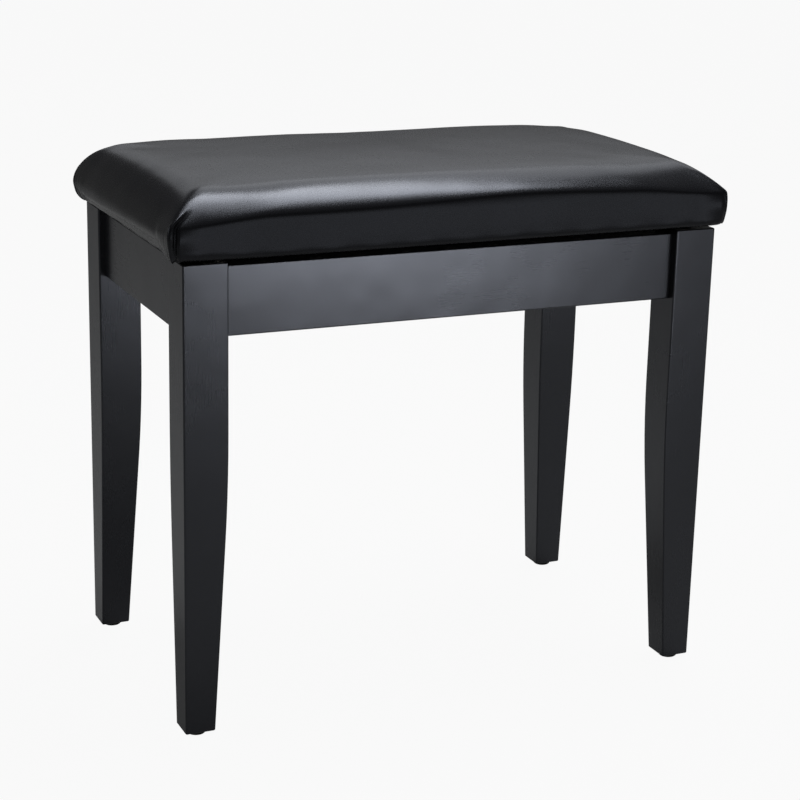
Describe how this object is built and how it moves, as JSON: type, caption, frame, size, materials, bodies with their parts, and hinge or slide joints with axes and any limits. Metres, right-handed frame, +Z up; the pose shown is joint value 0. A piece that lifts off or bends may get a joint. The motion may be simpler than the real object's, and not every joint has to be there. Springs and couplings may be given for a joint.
{
  "type": "piano bench",
  "caption": "Wooden piano bench with tapered legs and a padded vinyl seat that hinges up over a music compartment.",
  "frame": {"origin": "centre of the bench's footprint on the floor", "axes": "+X along the bench, -Y towards the player, +Z up"},
  "size_m": [0.542, 0.306, 0.499],
  "materials": {
    "lacquered_wood": "satin black lacquer over close-grained hardwood",
    "bare_wood": "sanded, unfinished",
    "black_board": "thin black faced board",
    "plywood": "sanded plywood",
    "foam": "open cell upholstery foam",
    "black_vinyl": "black vinyl with a fine grain, low sheen",
    "dust_cloth": "black non-woven cloth",
    "black_nylon": "moulded nylon",
    "rubber": "matt rubber",
    "plated_steel": "nickel plated",
    "screw_steel": "zinc plated"
  },
  "bodies": {
    "frame": {"block_screws": "screw_steel", "bolt_nuts": "screw_steel", "bolt_washers": "screw_steel", "bottom_panel": "black_board", "corner_block_back_left": "bare_wood", "corner_block_back_right": "bare_wood", "corner_block_front_left": "bare_wood", "corner_block_front_right": "bare_wood", "glide_back_left": "black_nylon", "glide_back_right": "black_nylon", "glide_front_left": "black_nylon", "glide_front_right": "black_nylon", "glide_nails": "screw_steel", "hanger_bolts": "screw_steel", "hinge_frame_leaf_left": "plated_steel", "hinge_frame_leaf_right": "plated_steel", "hinge_pin_left": "plated_steel", "hinge_pin_right": "plated_steel", "hinge_screws_frame": "screw_steel", "leg_back_left": "lacquered_wood", "leg_back_right": "lacquered_wood", "leg_front_left": "lacquered_wood", "leg_front_right": "lacquered_wood", "lid_bumper_back_left": "rubber", "lid_bumper_back_right": "rubber", "lid_bumper_front_left": "rubber", "lid_bumper_front_right": "rubber", "rail_dowels": "bare_wood", "rail_front": "lacquered_wood", "rail_left": "lacquered_wood", "rail_rear": "lacquered_wood", "rail_right": "lacquered_wood", "stay_plate_screws": "screw_steel", "stay_rail_plate": "plated_steel", "stay_rail_rivet": "screw_steel"},
    "lid": {"cover_staples": "screw_steel", "dust_cloth": "dust_cloth", "dust_staples": "screw_steel", "hinge_lid_leaf_left": "plated_steel", "hinge_lid_leaf_right": "plated_steel", "hinge_screws_lid": "screw_steel", "seat_board": "plywood", "seat_cover": "black_vinyl", "seat_foam": "foam", "stay_flange_screws": "screw_steel", "stay_lid_bracket": "plated_steel", "stay_lid_pin": "screw_steel"},
    "stay_lower": {"stay_elbow_rivet": "screw_steel", "stay_lower_arm": "plated_steel"},
    "stay_upper": {"stay_upper_arm": "plated_steel"}
  },
  "joints": [
    {"name": "lid_hinge", "type": "hinge", "parent": "frame", "child": "lid", "pos_m": [0, 0.1495, 0.43475], "axis": [-1, 0, 0], "range_deg": [0, 88]},
    {"name": "stay_rail_pivot", "type": "hinge", "parent": "frame", "child": "stay_lower", "pos_m": [0, 0.057, 0.39675], "axis": [-1, 0, 0], "range_deg": [0, 100.5]},
    {"name": "stay_elbow", "type": "hinge", "parent": "stay_lower", "child": "stay_upper", "pos_m": [0, -0.00819, 0.38646], "axis": [-1, 0, 0], "range_deg": [-114.5, 0]}
  ],
  "couplings": [
    {"joint": "stay_rail_pivot", "follows": "lid_hinge", "ratio": 1.135},
    {"joint": "stay_elbow", "follows": "lid_hinge", "ratio": -1.294}
  ]
}
